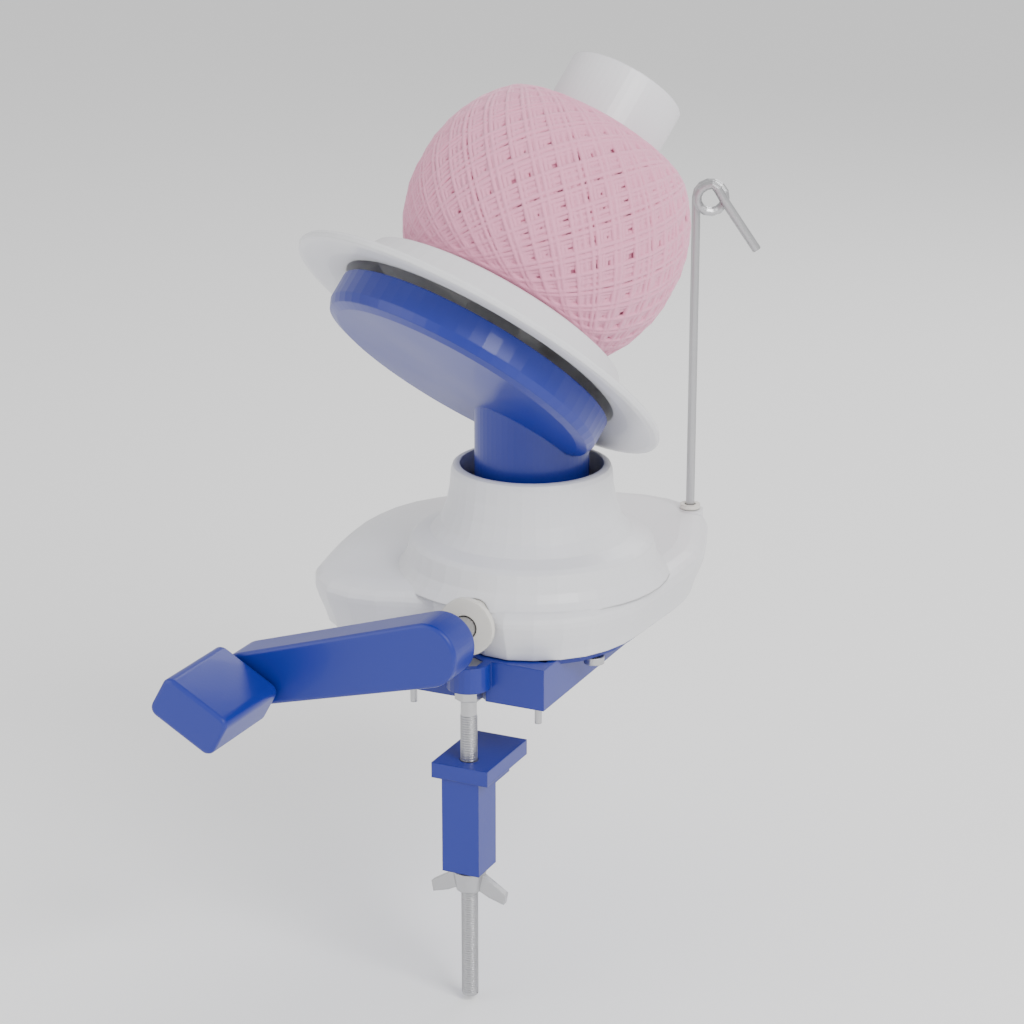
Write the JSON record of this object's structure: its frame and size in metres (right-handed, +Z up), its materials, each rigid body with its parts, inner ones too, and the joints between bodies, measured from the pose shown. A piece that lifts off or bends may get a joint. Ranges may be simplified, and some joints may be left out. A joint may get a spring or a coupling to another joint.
{
  "type": "yarn ball winder",
  "caption": "Table-clamped hand-cranked yarn winder: gear base, leaning spinning spool with a yarn ball, wire guide, clamp screw and jaw.",
  "frame": {"origin": "on the upright main axis, at the flat underside of the gear housing", "axes": "+Z up along the main axis, -Y towards the operator, +X to the operator's right"},
  "size_m": [0.1262, 0.1952, 0.2887],
  "materials": {
    "top_cover": "satin",
    "bottom_housing": "gloss",
    "locating_pin_1": "satin",
    "locating_pin_2": "satin",
    "cover_screw_1": "satin",
    "cover_screw_2": "satin",
    "cover_screw_3": "satin",
    "cover_screw_4": "satin",
    "guide_socket": "satin",
    "main_axle": "satin",
    "sun_gear": "satin",
    "clamp_rod": "satin",
    "rod_nut": "satin",
    "crank_bush": "satin",
    "crank_shaft": "satin",
    "crank_gear": "satin",
    "crank_arm": "gloss",
    "crank_screw": "satin",
    "grip_pin": "satin",
    "crank_grip": "gloss",
    "clamp_jaw": "gloss",
    "wing_nut": "satin",
    "rotor_housing": "gloss",
    "drive_pinion": "satin",
    "lower_bush": "satin",
    "upper_bush": "satin",
    "spindle_shaft": "satin",
    "spindle_washer": "satin",
    "spindle_retainer": "satin",
    "flange_disc": "satin",
    "spool_gear": "satin",
    "spool_tube": "satin",
    "tube_bearing": "satin",
    "yarn_ball": "soft",
    "yarn_guide": "satin"
  },
  "bodies": {
    "base": {"top_cover": "top_cover", "bottom_housing": "bottom_housing", "locating_pin_1": "locating_pin_1", "locating_pin_2": "locating_pin_2", "cover_screw_1": "cover_screw_1", "cover_screw_2": "cover_screw_2", "cover_screw_3": "cover_screw_3", "cover_screw_4": "cover_screw_4", "guide_socket": "guide_socket", "main_axle": "main_axle", "sun_gear": "sun_gear", "clamp_rod": "clamp_rod", "rod_nut": "rod_nut", "crank_bush": "crank_bush"},
    "crank": {"crank_shaft": "crank_shaft", "crank_gear": "crank_gear", "crank_arm": "crank_arm", "crank_screw": "crank_screw", "grip_pin": "grip_pin"},
    "grip": {"crank_grip": "crank_grip"},
    "head": {"rotor_housing": "rotor_housing", "drive_pinion": "drive_pinion", "lower_bush": "lower_bush", "upper_bush": "upper_bush", "spindle_shaft": "spindle_shaft", "spindle_washer": "spindle_washer", "spindle_retainer": "spindle_retainer"},
    "spool": {"flange_disc": "flange_disc", "spool_gear": "spool_gear", "spool_tube": "spool_tube", "tube_bearing": "tube_bearing"},
    "ball": {"yarn_ball": "yarn_ball"},
    "jaw": {"clamp_jaw": "clamp_jaw"},
    "nut": {"wing_nut": "wing_nut"},
    "guide": {"yarn_guide": "yarn_guide"}
  },
  "joints": [
    {"name": "crank_spin", "type": "hinge", "parent": "base", "child": "crank", "pos_m": [0, -0.05, 0.025], "axis": [0, -1, 0], "continuous": true},
    {"name": "grip_spin", "type": "hinge", "parent": "crank", "child": "grip", "pos_m": [-0.062, -0.092, 0.00722], "axis": [0, -1, 0], "continuous": true},
    {"name": "head_spin", "type": "hinge", "parent": "base", "child": "head", "pos_m": [0, 0, 0.06], "axis": [0, 0, 1], "continuous": true},
    {"name": "spool_spin", "type": "hinge", "parent": "head", "child": "spool", "pos_m": [0, 0, 0.1316], "axis": [0.2614, 0.5872, 0.766], "continuous": true},
    {"name": "ball_slide", "type": "slide", "parent": "spool", "child": "ball", "axis": [0.2614, 0.5872, 0.766], "range_m": [0, 0.11]},
    {"name": "jaw_slide", "type": "slide", "parent": "base", "child": "jaw", "axis": [0, 0, 1], "range_m": [-0.03, 0.018]},
    {"name": "nut_turn", "type": "hinge", "parent": "jaw", "child": "nut", "pos_m": [0, -0.046, -0.06], "axis": [0, 0, 1], "continuous": true},
    {"name": "guide_swivel", "type": "hinge", "parent": "base", "child": "guide", "pos_m": [0.025, 0.073, 0.03], "axis": [0, 0, 1], "range_deg": [-60, 60]}
  ],
  "couplings": [
    {"joint": "crank_spin", "follows": "head_spin", "ratio": -0.33333},
    {"joint": "spool_spin", "follows": "head_spin", "ratio": 0.26087}
  ]
}
